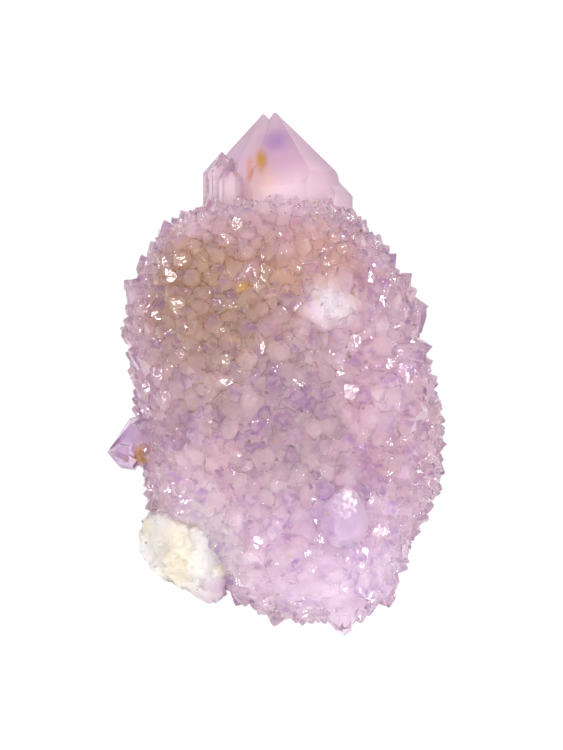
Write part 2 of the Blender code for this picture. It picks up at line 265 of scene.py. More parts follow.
# The stage, in metres
FLOOR_HALF = 1.5
AIMED_AT = (0, 0, 0.02)
KEY_PLACE, KEY_SIZE = (0.04, -0.38, 0.52), 0.35
GLINT_SIZE = 0.042
SENSOR_MM = 36.0

# Small lights that the facets mirror, in metres
GLINT_PLACES = (
    (0.534, -0.106, 0.325),
    (0.06, 0.12, 0.62),
    (0.35, -0.1, 0.4),
    (-0.2, -0.12, 0.55),
    (0.12, -0.3, 0.5),
    (-0.4, 0.15, 0.35),
    (0.2, 0.35, 0.42),
    (-0.07, 0.28, 0.58),
    (0.2, 0.02, 0.6),
    (-0.12, -0.38, 0.4),
    (-0.3, -0.25, 0.3),
    (-0.27, 0.08, 0.52),
    (0.33, 0.18, 0.3),
)

# More of them, spread over a dome
SPIRAL_COUNT, SPIRAL_RADIUS = 18, 0.62
SPIRAL_LOWEST, SPIRAL_RISE = 0.45, 0.5

# Facets are numbered by crystal, sixteen numbers each. The first two sixteens are the body's and the lump's
FACETS_EACH = 16
BODY_NUMBER, LUMP_NUMBER, FIRST_CRYSTAL = 0, 1, 2


def unit(vectors):
    """Vectors divided by their lengths."""
    return vectors / np.linalg.norm(vectors, axis=-1, keepdims=True)


def along(y, column):
    """A station column at heights y: a cubic Hermite curve through the stations."""
    stations = np.array(BODY_STATIONS)[::-1]
    at, value = stations[:, 0], stations[:, column]
    slope = np.gradient(value, at)
    k = np.clip(np.searchsorted(at, y) - 1, 0, len(at) - 2)
    step = at[k + 1] - at[k]
    t = np.clip((y - at[k]) / step, 0, 1)
    rise = value[k + 1] - value[k]
    first, last = slope[k] * step, slope[k + 1] * step
    return value[k] + first * t + (3 * rise - 2 * first - last) * t**2 + (first + last - 2 * rise) * t**3


def swell(points):
    """Low swells: a sum of plane sine waves in fixed random directions."""
    chance = np.random.default_rng(SWELL_SEED)
    directions = unit(chance.normal(size=(SWELL_COUNT, 3)))
    lengths = chance.uniform(*SWELL_WAVELENGTHS, SWELL_COUNT)
    phases = chance.uniform(0, 2 * math.pi, SWELL_COUNT)
    waves = np.sin(points @ directions.T * (2 * math.pi / lengths) + phases)
    return SWELL_HEIGHT * waves.sum(axis=1) / math.sqrt(SWELL_COUNT / 2)


def on_body(directions):
    """Points and normals of the body: the unit sphere stretched at each height by stations, plus swells."""
    half = (BODY_TOP_Y - BODY_BASE_Y) / 2
    y = (BODY_TOP_Y + BODY_BASE_Y) / 2 + half * directions[:, 1]
    wide, deep = along(y, 2), along(y, 3)
    points = np.stack(
        [along(y, 1) + wide * directions[:, 0], y, BODY_AXIS_Z + deep * directions[:, 2]], axis=1
    )
    normals = unit(directions / np.stack([wide, np.full_like(y, half), deep], axis=1))
    return points + normals * swell(points)[:, None], normals


def body_direction(y, angle):
    """The unit vectors that on_body takes for heights y and angles round the body."""
    up = (y - (BODY_TOP_Y + BODY_BASE_Y) / 2) / ((BODY_TOP_Y - BODY_BASE_Y) / 2)
    out = np.sqrt(np.clip(1 - up * up, 0, 1))
    return np.stack([out * np.cos(angle), up, out * np.sin(angle)], axis=-1)


def ball(rows, columns):
    """Unit vectors and padded faces of a closed ball: rows of latitude, columns of longitude about Y."""
    latitude = math.pi * (np.arange(1, rows) / rows - 0.5)
    longitude = 2 * math.pi * np.arange(columns) / columns
    lat, lon = np.meshgrid(latitude, longitude, indexing="ij")
    rings = np.stack([np.cos(lat) * np.sin(lon), np.sin(lat), np.cos(lat) * np.cos(lon)], axis=-1)
    rings = rings.reshape(-1, 3)
    vectors = np.concatenate([rings, [[0, -1, 0], [0, 1, 0]]])
    k = np.arange((rows - 2) * columns)
    right = k - k % columns + (k + 1) % columns
    quads = np.stack([k, right, right + columns, k + columns], axis=1)
    first = np.arange(columns)
    second = (first + 1) % columns
    south = np.stack([np.full(columns, len(rings)), second, first, first], axis=1)
    top = (rows - 2) * columns
    north = np.stack([np.full(columns, len(rings) + 1), top + first, top + second, top + second], axis=1)
    return vectors, np.concatenate([quads, south, north])


def crystal_frames(axes, rolls):
    """Each crystal's axis, two directions across it, and the angles of its six prism faces round it."""
    axes = unit(axes)
    up = np.where(np.abs(axes[:, 2:]) < 0.9, [[0.0, 0.0, 1.0]], [[0.0, 1.0, 0.0]])
    side = unit(up - axes * (up * axes).sum(axis=1, keepdims=True))
    across = np.cross(axes, side)
    turn = np.asarray(rolls)[:, None] - SIXTH * np.arange(6)
    return axes, side, across, turn


def crystals(tips, axes, apothems, set_outs, face_angles, lengths, rolls):
    """Closed six-sided crystals as whole arrays.

    Each has a prism face at its own distance in each of six directions and six end faces that lean in by the
    same angle. The even end faces meet at the tip, and the odd ones are set out past it, so each of those
    starts lower, on the ridge of its neighbours. The ridge between two end faces runs down their bisector
    until it meets the nearer prism face. Returns (N, 22, 3) corners and (N, 13, 7) padded faces: six end
    faces, six prism faces and the root.
    """
    axes, side, across, turn = crystal_frames(axes, rolls)
    count = len(tips)
    slope = 1 / np.tan(face_angles)[:, None]
    out = np.stack([np.cos(turn), np.sin(turn)], axis=-1)
    after = np.roll(np.arange(6), -1)
    before = np.roll(np.arange(6), 1)
    odd = np.arange(6) % 2 == 1
    raised = set_outs / np.sin(face_angles)[:, None]
    shift = np.where(odd, raised / slope, 0)
    pair_shift = shift + shift[:, after]
    start = 2 * pair_shift[..., None] * np.where(odd[None, :, None], out, out[:, after])
    bisector = unit(out + out[:, after])
    reach_here = (apothems - np.where(odd, 2, 1) * pair_shift) / math.cos(SIXTH / 2)
    reach_next = (apothems[:, after] - np.where(odd, 1, 2) * pair_shift) / math.cos(SIXTH / 2)
    here_is_nearer = reach_here < reach_next
    ridge_foot = start + np.minimum(reach_here, reach_next)[..., None] * bisector
    even_out = np.where(odd[None, :, None], out[:, after], out)
    ridge_height = -(ridge_foot * even_out).sum(axis=-1) * slope
    own, following = apothems[..., None], apothems[:, after, None]
    corner = (own * (out - out[:, after] / 2) + following * (out[:, after] - out / 2)) / 0.75
    drop_here = raised * odd - apothems * slope
    corner_height = np.minimum(drop_here, drop_here[:, after])
    peak = 2 * shift[:, odd, None] * out[:, odd]
    peak_height = -(raised * odd)[:, odd]
    flat = np.concatenate([np.zeros((count, 1, 2)), peak, ridge_foot, corner, corner], axis=1)
    bottom = np.repeat(-np.asarray(lengths)[:, None], 6, axis=1)
    heights = np.concatenate([np.zeros((count, 1)), peak_height, ridge_height, corner_height, bottom], axis=1)
    points = (
        np.asarray(tips)[:, None]
        + flat[..., :1] * side[:, None]
        + flat[..., 1:] * across[:, None]
        + heights[..., None] * axes[:, None]
    )
    ridge, edge, base = 4 + np.arange(6), 10 + np.arange(6), 16 + np.arange(6)
    low = np.where(here_is_nearer[:, before], edge[before], ridge[before])
    high = np.where(here_is_nearer, ridge, edge)
    rings = []
    for k in range(6):
        a, b = before[k], k
        ends = [ridge[a], low[:, k], high[:, k], ridge[b]]
        if k % 2:
            rings.append([1 + k // 2, *ends, ridge[b], ridge[b]])
        else:
            rings.append([0, 1 + (k // 2 - 1) % 3, *ends, 1 + k // 2])
    for k in range(6):
        a, b = before[k], k
        rings.append([base[a], base[b], edge[b], high[:, k], low[:, k], edge[a], edge[a]])
    rings.append([*base[::-1], base[0]])
    faces = [np.broadcast_to(np.stack(np.broadcast_arrays(*ring), axis=-1), (count, 7)) for ring in rings]
    return points, np.stack(faces, axis=1)[..., ::-1]


def body_normals(points):
    """Directions out of the body at points near it: the gradient of the stretched sphere through each."""
    half = (BODY_TOP_Y - BODY_BASE_Y) / 2
    y = np.clip(points[:, 1], BODY_BASE_Y, BODY_TOP_Y)
    wide, deep = along(y, 2), along(y, 3)
    return unit(
        np.stack(
            [
                (points[:, 0] - along(y, 1)) / wide**2,
                (y - (BODY_TOP_Y + BODY_BASE_Y) / 2) / half**2,
                (points[:, 2] - BODY_AXIS_Z) / deep**2,
            ],
            axis=1,
        )
    )


def cell_tips(node):
    """Tips of the crust in the plain solid, the axis of each and how far its cell reaches from that axis.

    The solid's loose corners are merged first. A tip is a corner that stands further out over the mean of
    its neighbours than any of them does over theirs, and its axis runs from that mean through the tip.
    """
    mesh = node.data
    corners = np.empty(3 * len(mesh.vertices), np.float32)
    mesh.vertices.foreach_get("co", corners)
    loops = np.empty(len(mesh.loops), np.int32)
    mesh.loops.foreach_get("vertex_index", loops)
    points, merged = np.unique(np.round(corners.reshape(-1, 3) / MM, 4), axis=0, return_inverse=True)
    triangles = merged.reshape(-1)[loops].reshape(-1, 3)
    pairs = np.concatenate([triangles[:, [0, 1]], triangles[:, [1, 2]], triangles[:, [2, 0]]])
    pairs = np.unique(np.concatenate([pairs, pairs[:, ::-1]]), axis=0)
    here, there = pairs.T
    number = np.bincount(here, minlength=len(points))[:, None]
    mean = np.stack([np.bincount(here, points[there, i], len(points)) for i in range(3)], axis=1) / number
    stands = ((points - mean) * body_normals(points)).sum(axis=1)
    highest = np.full(len(points), -np.inf)
    np.maximum.at(highest, here, stands[there])
    high = (stands > highest) & (stands > TIP_STANDS)
    tips = high & (points[:, 1] < BODY_TOP_Y) & (points[:, 2] > TIP_LOWEST)
    spoke = points[there] - points[here]
    axes = unit(points - mean)
    out = np.linalg.norm(spoke - axes[here] * (spoke * axes[here]).sum(axis=1, keepdims=True), axis=1)
    reach = np.bincount(here, out, len(points)) / number[:, 0]
    return points[tips], axes[tips], reach[tips]


def point_rows():
    """The large points: tips, axes, face distances, set-outs, face angles, lengths and rolls."""
    heads = np.array([row[0] for row in TIP_CRYSTALS])
    turned = np.radians(heads[:, 3])
    axes = np.stack([-np.sin(turned), np.cos(turned), np.zeros(len(heads))], axis=1)
    apothems = np.array([row[1] for row in TIP_CRYSTALS])
    set_outs = np.array([row[2] for row in TIP_CRYSTALS])
    angles, lengths = np.radians(heads[:, 4]), heads[:, 1] - heads[:, 5]
    return heads[:, :3], axes, apothems, set_outs, angles, lengths, np.zeros(len(heads))


def side_rows():
    """The bigger crystals of the crust, each from its foot on the body along its leaning axis."""
    y, angle, apothem, standout, lean = np.array(SIDE_CRYSTALS).T
    draws = np.random.default_rng(SIDE_CRYSTAL_SEED).random((len(y), 13))
    feet, normals = on_body(body_direction(y, np.radians(angle)))
    turned = np.radians(lean)[:, None]
    axes = unit(normals * np.cos(turned) + np.sin(turned) * np.array([0.0, 1.0, 0.0]))
    apothems = apothem[:, None] * (0.88 + 0.16 * draws[:, 1:7])
    set_outs = apothem[:, None] * 0.2 * draws[:, 7:]
    angles = np.full(len(y), math.radians(FACE_TO_AXIS))
    tips, lengths = feet + axes * standout[:, None], standout + SIDE_CRYSTAL_ROOT
    return tips, axes, apothems, set_outs, angles, lengths, draws[:, 0]


def grown_rows(tips, axes, sizes, root, chance):
    """Small crystals: uneven prism faces, and odd end faces set out by a random share of their most."""
    count = len(tips)
    apothems = sizes[:, None] * chance.uniform(*UNEVEN_FACES, (count, 6))
    most = apothems.min(axis=1, keepdims=True) * math.cos(math.radians(FACE_TO_AXIS)) / 2
    share = chance.uniform(*SET_OUT_EACH, (count, 1)) + chance.uniform(*SET_OUT_FACE, (count, 6))
    angles = np.full(count, math.radians(FACE_TO_AXIS))
    lengths = sizes / math.tan(math.radians(FACE_TO_AXIS)) + root
    return tips, axes, apothems, most * share, angles, lengths, chance.uniform(0, 2 * math.pi, count)


def crust_rows(node, chance):
    """The crust: on each tip of the plain solid a crystal about as wide as its cell, leaning a little."""
    tips, axes, reach = cell_tips(node)
    keep = (reach > CRUST_LEAST_REACH) & (outside_lump(tips) > CRUST_OFF_LUMP)
    tips, axes, reach = tips[keep], axes[keep], reach[keep]
    out = body_normals(tips)
    lean = chance.normal(scale=CRUST_LEAN, size=tips.shape)
    axes = unit(axes + out + lean + [0.0, CRUST_TOWARDS_POINT, 0.0])
    sizes = np.clip(reach, *CRUST_REACHES) * chance.uniform(*CRUST_WIDTHS, len(tips)) * finer(tips)
    return grown_rows(tips, axes, sizes, CRUST_ROOT, chance)


def small_rows(count, sizes, heights, chance):
    """Smaller crystals between the others.

    The n-th crystal's height splits the body's skin into equal areas and its angle turns by the golden angle,
    and both are shaken a little.
    """
    y = np.linspace(BODY_BASE_Y, BODY_TOP_Y, 2001)
    half = (BODY_TOP_Y - BODY_BASE_Y) / 2
    up = (y - (BODY_TOP_Y + BODY_BASE_Y) / 2) / half
    radius = np.sqrt(np.clip(1 - up**2, 0, 1)) * (along(y, 2) + along(y, 3)) / 2
    strips = (radius[1:] + radius[:-1]) * np.hypot(np.diff(radius), np.diff(y))
    skin = np.concatenate([[0], np.cumsum(strips)])
    n = np.arange(count) + 0.5
    directions = body_direction(np.interp(n / count * skin[-1], skin, y), n * math.pi * (3 - math.sqrt(5)))
    directions = unit(directions + chance.normal(scale=SMALL_SHAKE, size=directions.shape))
    points, normals = on_body(directions)
    inside = (points[:, 2] > SMALL_LOWEST) & (points[:, 1] < BODY_TOP_Y - SMALL_BELOW_TOP)
    keep = (outside_lump(points) > SMALL_OFF_LUMP) & inside
    points, normals = points[keep], normals[keep]
    lean = chance.normal(scale=SMALL_LEAN, size=normals.shape)
    axes = unit(normals + lean + [0.0, CRUST_TOWARDS_POINT, 0.0])
    tips = points + axes * chance.uniform(*heights, (len(points), 1))
    return grown_rows(tips, axes, chance.uniform(*sizes, len(tips)) * finer(tips), CRUST_ROOT, chance)


def finer(tips):
    """A share of size: 1 low down, falling evenly to the finest share near the large points."""
    low, high = FINER_BETWEEN
    return 1 - (1 - FINEST_SHARE) * np.clip((tips[:, 1] - low) / (high - low), 0, 1)


def outside_lump(points):
    """Distance of points from the lump's centre, as a share of its shrunken half sizes."""
    reach = np.array(LUMP_HALF_SIZES) * LUMP_FOOT_SHARE
    return np.linalg.norm((points - np.array(LUMP_CENTRE)) / reach, axis=1)


def lump_surface(inset_by):
    """The lump: along each direction, the nearest of its breaks, less the slope and depth of the chip there.

    The breaks are planes and the chips are the cells round random directions. Each chip is a plane of its
    own, tilted a little, so the broken surface is made of small flat steps. All of it can be drawn in.
    """
    chance = np.random.default_rng(LUMP_SEED)
    vectors, faces = ball(LUMP_ROWS, LUMP_COLUMNS)
    normals = unit(np.array([row[0] for row in LUMP_BREAKS]))
    distances = np.array([row[1] for row in LUMP_BREAKS])
    facing = vectors @ normals.T
    planes = np.where(facing > LEAST_FACING, distances / np.maximum(facing, LEAST_FACING), np.inf).min(axis=1)
    radius = np.minimum(planes, 1 / np.linalg.norm(vectors / np.array(LUMP_HALF_SIZES), axis=1))
    shaken = vectors + CHIP_WAVE * np.sin(vectors[:, [1, 2, 0]] * CHIP_WAVES)
    for count, slope, depth in LUMP_CHIPS:
        chips = unit(chance.normal(size=(count, 3)))
        own = np.argmax(shaken @ chips.T, axis=1)
        tilts = chance.normal(scale=slope, size=(count, 3))
        along_chip = ((vectors - chips[own]) * tilts[own]).sum(axis=1) * CHIP_REACH
        radius = radius + np.clip(along_chip, -depth, depth) - depth * chance.random(count)[own]
    return vectors * (radius - inset_by)[:, None] + np.array(LUMP_CENTRE), faces


def disjoint_sets(middles, radii):
    """Numbers crystals so that no two of a number touch: each takes the least that is left free."""
    gaps = np.linalg.norm(middles[:, None] - middles[None], axis=2)
    near = gaps < radii[:, None] + radii[None]
    number = np.full(len(middles), -1)
    for i in np.argsort(-radii, kind="stable"):
        taken = np.zeros(len(middles) + 1, bool)
        taken[number[near[i]]] = True
        number[i] = np.argmin(taken[:-1])
    return number


def closed_mesh(name, points, faces, facets):
    """A mesh from corners in millimetres, faces padded by repeated corners, and their facet numbers."""
    kept = faces != np.roll(faces, 1, axis=1)
    totals = kept.sum(axis=1)
    corners = faces[kept]
    mesh = bpy.data.meshes.new(name)
    mesh.vertices.add(len(points))
    mesh.vertices.foreach_set("co", points.astype(np.float32).reshape(-1))
    mesh.loops.add(len(corners))
    mesh.loops.foreach_set("vertex_index", corners.astype(np.int32))
    mesh.polygons.add(len(faces))
    mesh.polygons.foreach_set("loop_start", (np.cumsum(totals) - totals).astype(np.int32))
    mesh.attributes.new("facet", "INT", "FACE").data.foreach_set("value", facets.astype(np.int32))
    mesh.update(calc_edges=True)
    return mesh


def grown_cluster(settings):
    """The body, the crystals and the lump fused into one closed mesh and cut flat where it lies."""
    chance = np.random.default_rng(GROWTH_SEED)
    sets = [
        point_rows(),
        side_rows(),
        crust_rows(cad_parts[NODE], chance),
        small_rows(settings.small_count, SMALL_SIZES, SMALL_HEIGHTS, chance),
        small_rows(settings.grain_count, GRAIN_SIZES, GRAIN_HEIGHTS, chance),
    ]
    rows = [np.concatenate(column) for column in zip(*sets)]
    cluster = fused(PIECE, BODY_SUNK, rows, lump_surface(0.0), 0.0)
    return cluster, rows


def grown_core(settings):
    """The milky inside: body, large points, bigger crystals and lump, drawn in under the clear quartz."""
    points, sides = point_rows(), side_rows()
    deeper = zip(inset(points, settings.point_depth / MM), inset(sides, SIDE_DEPTH))
    rows = [np.concatenate(pair) for pair in deeper]
    return fused(CORE, settings.core_depth / MM, rows, lump_surface(LUMP_DEPTH), CORE_FOOT), rows


def inset(rows, depth):
    """Crystals whose faces all lie deeper by the same distance."""
    tips, axes, apothems, set_outs, angles, lengths, rolls = rows
    lower = np.minimum(depth, apothems.min(axis=1) * CORE_SHARE)[:, None]
    tips = tips - axes * lower / np.sin(angles)[:, None]
    return tips, axes, apothems - lower, set_outs * CORE_SHARE, angles, lengths, rolls


def fused(name, sunk, rows, lump, foot):
    """One closed mesh of the body drawn in by a depth, crystals and the lump, cut flat at its foot."""
    vectors, body_faces = ball(BODY_ROWS, BODY_COLUMNS)
    skin, normals = on_body(vectors)
    tips, axes, lengths = rows[0], rows[1], rows[5]
    points, faces = crystals(*rows)
    middles = tips - axes * lengths[:, None] / 2
    radii = np.linalg.norm(points - middles[:, None], axis=2).max(axis=1)
    numbers = disjoint_sets(middles, radii)
    facets = (np.arange(len(tips))[:, None] + FIRST_CRYSTAL) * FACETS_EACH + np.arange(faces.shape[1])
    body_facets = np.full(len(body_faces), BODY_NUMBER * FACETS_EACH)
    host = closed_mesh(name, skin - normals * sunk, body_faces, body_facets)
    whole = bpy.data.objects.new(name, host)
    bpy.context.scene.collection.objects.link(whole)
    for number in range(numbers.max() + 1):
        mine = numbers == number
        shifts = points.shape[1] * np.arange(mine.sum())[:, None, None]
        rings = (faces[mine] + shifts).reshape(-1, faces.shape[2])
        corners, own_facets = points[mine].reshape(-1, 3), facets[mine].reshape(-1)
        fuse(whole, closed_mesh(f"crystals_{number:02d}", corners, rings, own_facets), "UNION")
    lump_points, lump_faces = lump
    lump_facets = np.full(len(lump_faces), LUMP_NUMBER * FACETS_EACH)
    fuse(whole, closed_mesh("lump", lump_points, lump_faces, lump_facets), "UNION")
    fuse(whole, ground_block(foot), "DIFFERENCE")
    apply_modifiers(whole)
    return whole


def ground_block(top):
    """A wide block below a height, as a mesh in millimetres."""
    across = np.array([-90.0, 90.0])
    x, y, z = np.meshgrid(across, across, [-40.0, top], indexing="ij")
    corners = np.stack([x, y, z], axis=-1).reshape(-1, 3)
    sides = np.array([[0, 1, 3, 2], [4, 6, 7, 5], [0, 4, 5, 1], [2, 3, 7, 6], [0, 2, 6, 4], [1, 5, 7, 3]])
    return closed_mesh("ground", corners, sides, np.full(6, BODY_NUMBER * FACETS_EACH))


def fuse(host, mesh, operation):
    """Adds a Boolean with a closed mesh to the host."""
    helper = bpy.data.objects.new(mesh.name, mesh)
    bpy.context.scene.collection.objects.link(helper)
    helper.hide_render = True
    boolean = host.modifiers.new(mesh.name, "BOOLEAN")
    boolean.operation = operation
    boolean.solver = "MANIFOLD"
    boolean.object = helper


def apply_modifiers(host):
    """Puts the result of the modifiers into the mesh, and removes the helpers."""
    bpy.context.view_layer.update()
    shown = host.evaluated_get(bpy.context.evaluated_depsgraph_get())
    mesh = bpy.data.meshes.new_from_object(shown)
    helpers = [modifier.object for modifier in host.modifiers]
    host.modifiers.clear()
    old = host.data
    host.data = mesh
    bpy.data.meshes.remove(old)
    for helper in helpers:
        data = helper.data
        bpy.data.objects.remove(helper)
        bpy.data.meshes.remove(data)
    mesh.name = host.name


def write_attribute(mesh, name, domain, values):
    """A number for each face, corner or point of the mesh, for the finish to read."""
    mesh.attributes.new(name, "FLOAT", domain).data.foreach_set("value", values.astype(np.float32))


def describe_surface(mesh, rows):
    """Writes what the finish reads, and puts the mesh in metres.

    below_tip is how far a corner lies below its crystal's tip, along its axis and over its size.
    crystal_shade and facet_shade are random numbers for each crystal and facet. over_body is the height over
    the body's skin in millimetres, milky marks the lump, and large is a crystal's size in millimetres.
    """
    tips, axes, sizes = rows[0], rows[1], rows[2].mean(axis=1)
    points = np.empty(3 * len(mesh.vertices), np.float32)
    mesh.vertices.foreach_get("co", points)
    points = points.reshape(-1, 3).astype(float)
    at = np.empty(len(mesh.loops), np.int32)
    mesh.loops.foreach_get("vertex_index", at)
    facets = np.empty(len(mesh.polygons), np.int32)
    mesh.attributes["facet"].data.foreach_get("value", facets)
    sides = np.empty(len(mesh.polygons), np.int32)
    mesh.polygons.foreach_get("loop_total", sides)
    crystal = facets // FACETS_EACH
    grown = crystal >= FIRST_CRYSTAL
    row = np.where(grown, crystal - FIRST_CRYSTAL, 0)
    corner_row, corner_grown = np.repeat(row, sides), np.repeat(grown, sides)
    below = ((tips[corner_row] - points[at]) * axes[corner_row]).sum(axis=1) / sizes[corner_row]
    write_attribute(mesh, "below_tip", "CORNER", np.where(corner_grown, below, 3.0))
    shades = np.random.default_rng(SHADE_SEED).random(len(tips) + FIRST_CRYSTAL)
    write_attribute(mesh, "crystal_shade", "FACE", shades[crystal])
    shades = np.random.default_rng(SHADE_SEED + 1).random(FACETS_EACH * (len(tips) + FIRST_CRYSTAL))
    write_attribute(mesh, "facet_shade", "FACE", shades[facets])
    write_attribute(mesh, "milky", "FACE", (crystal == LUMP_NUMBER) * 1.0)
    write_attribute(mesh, "large", "FACE", np.where(grown, sizes[row], 0.0))
    write_attribute(mesh, "over_body", "POINT", over_body(points))
    mesh.attributes.remove(mesh.attributes["facet"])
    mesh.shade_flat()
    mesh.vertices.foreach_set("co", (points * MM).astype(np.float32).reshape(-1))
    mesh.update()


def over_body(points):
    """Height of points over the body's skin, measured along the body's normal."""
    half = (BODY_TOP_Y - BODY_BASE_Y) / 2
    y = np.clip(points[:, 1], BODY_BASE_Y, BODY_TOP_Y)
    flat = np.stack(
        [
            (points[:, 0] - along(y, 1)) / along(y, 2),
            (points[:, 1] - (BODY_TOP_Y + BODY_BASE_Y) / 2) / half,
            (points[:, 2] - BODY_AXIS_Z) / along(y, 3),
        ],
        axis=1,
    )
    skin, normals = on_body(unit(flat))
    return ((points - skin) * normals).sum(axis=1)


def node(tree, kind, inputs=None, **settings):
    """Adds a node, sets its settings, and puts a value into or a link to each named or numbered input."""
    made = tree.nodes.new(kind)
    for name, value in settings.items():
        setattr(made, name, value)
    for name, value in (inputs or {}).items():
        socket = made.inputs[name]
        if isinstance(value, bpy.types.NodeSocket):
            tree.links.new(value, socket)
        else:
            socket.default_value = value
    return made


def attribute(tree, name):
    """A number that the mesh carries."""
    return node(tree, "ShaderNodeAttribute", attribute_name=name).outputs["Fac"]


def reckon(tree, operation, first, second=0.0, third=0.0):
    """A sum, product or other reckoning of numbers."""
    return node(tree, "ShaderNodeMath", {0: first, 1: second, 2: third}, operation=operation).outputs[0]


def noise_at(tree, place, scale, detail):
    """A soft noise about 0.5, whose blobs come so many to a metre."""
    given = {"Vector": place, "Scale": scale, "Detail": detail}
    return node(tree, "ShaderNodeTexNoise", given).outputs[0]


def ramp(tree, value, low, high):
    """A share that grows smoothly from 0 to 1 while the value goes from low to high."""
    given = {"Value": value, "From Min": low, "From Max": high}
    return node(tree, "ShaderNodeMapRange", given, interpolation_type="SMOOTHSTEP").outputs["Result"]


def mixed(tree, share, first, second):
    """Two colours mixed by a share."""
    return node(tree, "ShaderNodeMix", {0: share, 6: first, 7: second}, data_type="RGBA").outputs[2]


def new_group(name, inputs, outputs):
    """A shader node group with named sockets: each is a name, a kind and, for an input, its value."""
    tree = bpy.data.node_groups.new(name, "ShaderNodeTree")
    for label, kind, value in inputs:
        tree.interface.new_socket(label, in_out="INPUT", socket_type=kind).default_value = value
    for label, kind in outputs:
        tree.interface.new_socket(label, in_out="OUTPUT", socket_type=kind)
    return tree, tree.nodes.new("NodeGroupInput").outputs, tree.nodes.new("NodeGroupOutput").inputs


def patch_group():
    """Patch, also for painted light: 1 where the scaled and shifted place is near 0, fading out with a ragged
    rim.
    """
    inputs = (
        ("Place", "NodeSocketVector", (0.0, 0.0, 0.0)),
        ("Scale", "NodeSocketVector", (100.0, 100.0, 100.0)),
        ("Shift", "NodeSocketVector", (0.0, 0.0, 0.0)),
        ("Noise", "NodeSocketFloat", 0.5),
        ("Raggedness", "NodeSocketFloat", 0.3),
    )
    tree, given, put = new_group("Stained patch", inputs, (("Share", "NodeSocketFloat"),))
    scaled = {0: given["Place"], 1: given["Scale"], 2: given["Shift"]}
    off = node(tree, "ShaderNodeVectorMath", scaled, operation="MULTIPLY_ADD").outputs[0]
    distance = node(tree, "ShaderNodeVectorMath", {0: off}, operation="LENGTH").outputs["Value"]
    ragged = reckon(tree, "MULTIPLY_ADD", given["Noise"], given["Raggedness"], distance)
    tree.links.new(ramp(tree, ragged, 1.1, 0.2), put["Share"])
    return tree


def group(tree, source, inputs):
    """Places a shader node group, with a value or a link for each named input."""
    return node(tree, "ShaderNodeGroup", inputs, node_tree=source).outputs


def patch_at(tree, place, noise, centre, reach, raggedness):
    """The share of a patch, also of painted light, from its centre and reach in millimetres and a noise about
    0.
    """
    source = bpy.data.node_groups.get("Stained patch") or patch_group()
    scale = [1 / (r * MM) for r in reach]
    shift = [-c / r for c, r in zip(centre, reach)]
    given = {"Place": place, "Scale": scale, "Shift": shift, "Noise": noise, "Raggedness": 4 * raggedness}
    return group(tree, source, given)["Share"]


def blotched(tree, place):
    """The noise about 0 that makes the patches' rims ragged."""
    noise = noise_at(tree, place, PATCH_SCALE, 3.0)
    return reckon(tree, "SUBTRACT", noise, 0.5)


def stains_and_painted_light(tree, colour, place, noise, in_clear):
    """The quartz's colour with its discoloured patches laid over it, and the lower end painted paler as
    painted light.
    """
    for _, centre, reach, core_share, clear_share, raggedness, tint in STAINS_AND_PAINTED_LIGHT:
        strength = clear_share if in_clear else core_share
        if strength:
            patch_share = patch_at(tree, place, noise, centre, reach, raggedness)
            colour = mixed(tree, reckon(tree, "MULTIPLY", patch_share, strength), colour, (*tint, 1.0))
    return colour


def specks_group():
    """Specks: two kinds of grains, each 1 on a disk at the middle of some cells of a random mesh."""
    inputs = (
        ("Scale", "NodeSocketFloat", 450.0),
        ("Dark Size", "NodeSocketFloat", 0.12),
        ("Yellow Size", "NodeSocketFloat", 0.16),
        ("Dark Cells", "NodeSocketFloat", 0.12),
        ("Yellow Cells", "NodeSocketFloat", 0.2),
    )
    outputs = (("Dark", "NodeSocketFloat"), ("Yellow", "NodeSocketFloat"))
    tree, given, put = new_group("Specks", inputs, outputs)
    place = node(tree, "ShaderNodeTexCoord").outputs["Object"]
    cells = node(tree, "ShaderNodeTexVoronoi", {"Vector": place, "Scale": given["Scale"]}).outputs
    number = node(tree, "ShaderNodeSeparateColor", {"Color": cells["Color"]}).outputs
    for kind, channel in (("Dark", 0), ("Yellow", 1)):
        near = reckon(tree, "LESS_THAN", cells["Distance"], given[f"{kind} Size"])
        chosen = reckon(tree, "LESS_THAN", number[channel], given[f"{kind} Cells"])
        tree.links.new(reckon(tree, "MULTIPLY", near, chosen), put[kind])
    return tree


def specked(tree, colour, colours):
    """A colour with yellow and dark specks laid over it, but for the large faces."""
    source = bpy.data.node_groups.get("Specks") or specks_group()
    dark_cells = reckon(tree, "MULTIPLY_ADD", attribute(tree, "milky"), 0.7, 0.15)
    specks = group(tree, source, {"Dark Cells": dark_cells})
    small = ramp(tree, attribute(tree, "large"), 3.0, 2.5)
    for kind, share, tint in (("Yellow", 0.6, colours.yellow), ("Dark", 0.7, colours.dark)):
        shown = reckon(tree, "MULTIPLY", specks[kind], reckon(tree, "MULTIPLY", small, share))
        colour = mixed(tree, shown, colour, tint)
    return colour


def lump_colour(tree, place, noise, colours):
    """The lump's white quartz with pale yellow and rosy clouds."""
    clouded = reckon(tree, "MULTIPLY", ramp(tree, noise, 0.02, 0.16), 0.8)
    shaded = reckon(tree, "MULTIPLY", ramp(tree, noise, -0.05, -0.16), 0.7)
    colour = mixed(tree, clouded, colours.milk, colours.milk_stain)
    colour = mixed(tree, shaded, colour, colours.milk_shade)
    for centre, reach, tint in (LUMP_YELLOW, LUMP_LILAC):
        colour = mixed(tree, patch_at(tree, place, noise, centre, reach, 0.3), colour, (*tint, 1.0))
    return colour


def tip_purple(tree, place, below, shade, large):
    """Where a crystal is purple: in clouds just under its tip, in some only and never in the largest."""
    fine = noise_at(tree, place, FINE_SCALE, 3.0)
    chosen = reckon(tree, "FRACT", reckon(tree, "MULTIPLY", shade, 7.0))
    purple = reckon(tree, "MULTIPLY", ramp(tree, below, 1.35, 0.3), ramp(tree, below, 0.0, 0.3))
    for value, low, high in ((fine, 0.38, 0.58), (chosen, 0.25, 0.9), (large, 5.0, 4.3)):
        purple = reckon(tree, "MULTIPLY", purple, ramp(tree, value, low, high))
    return purple


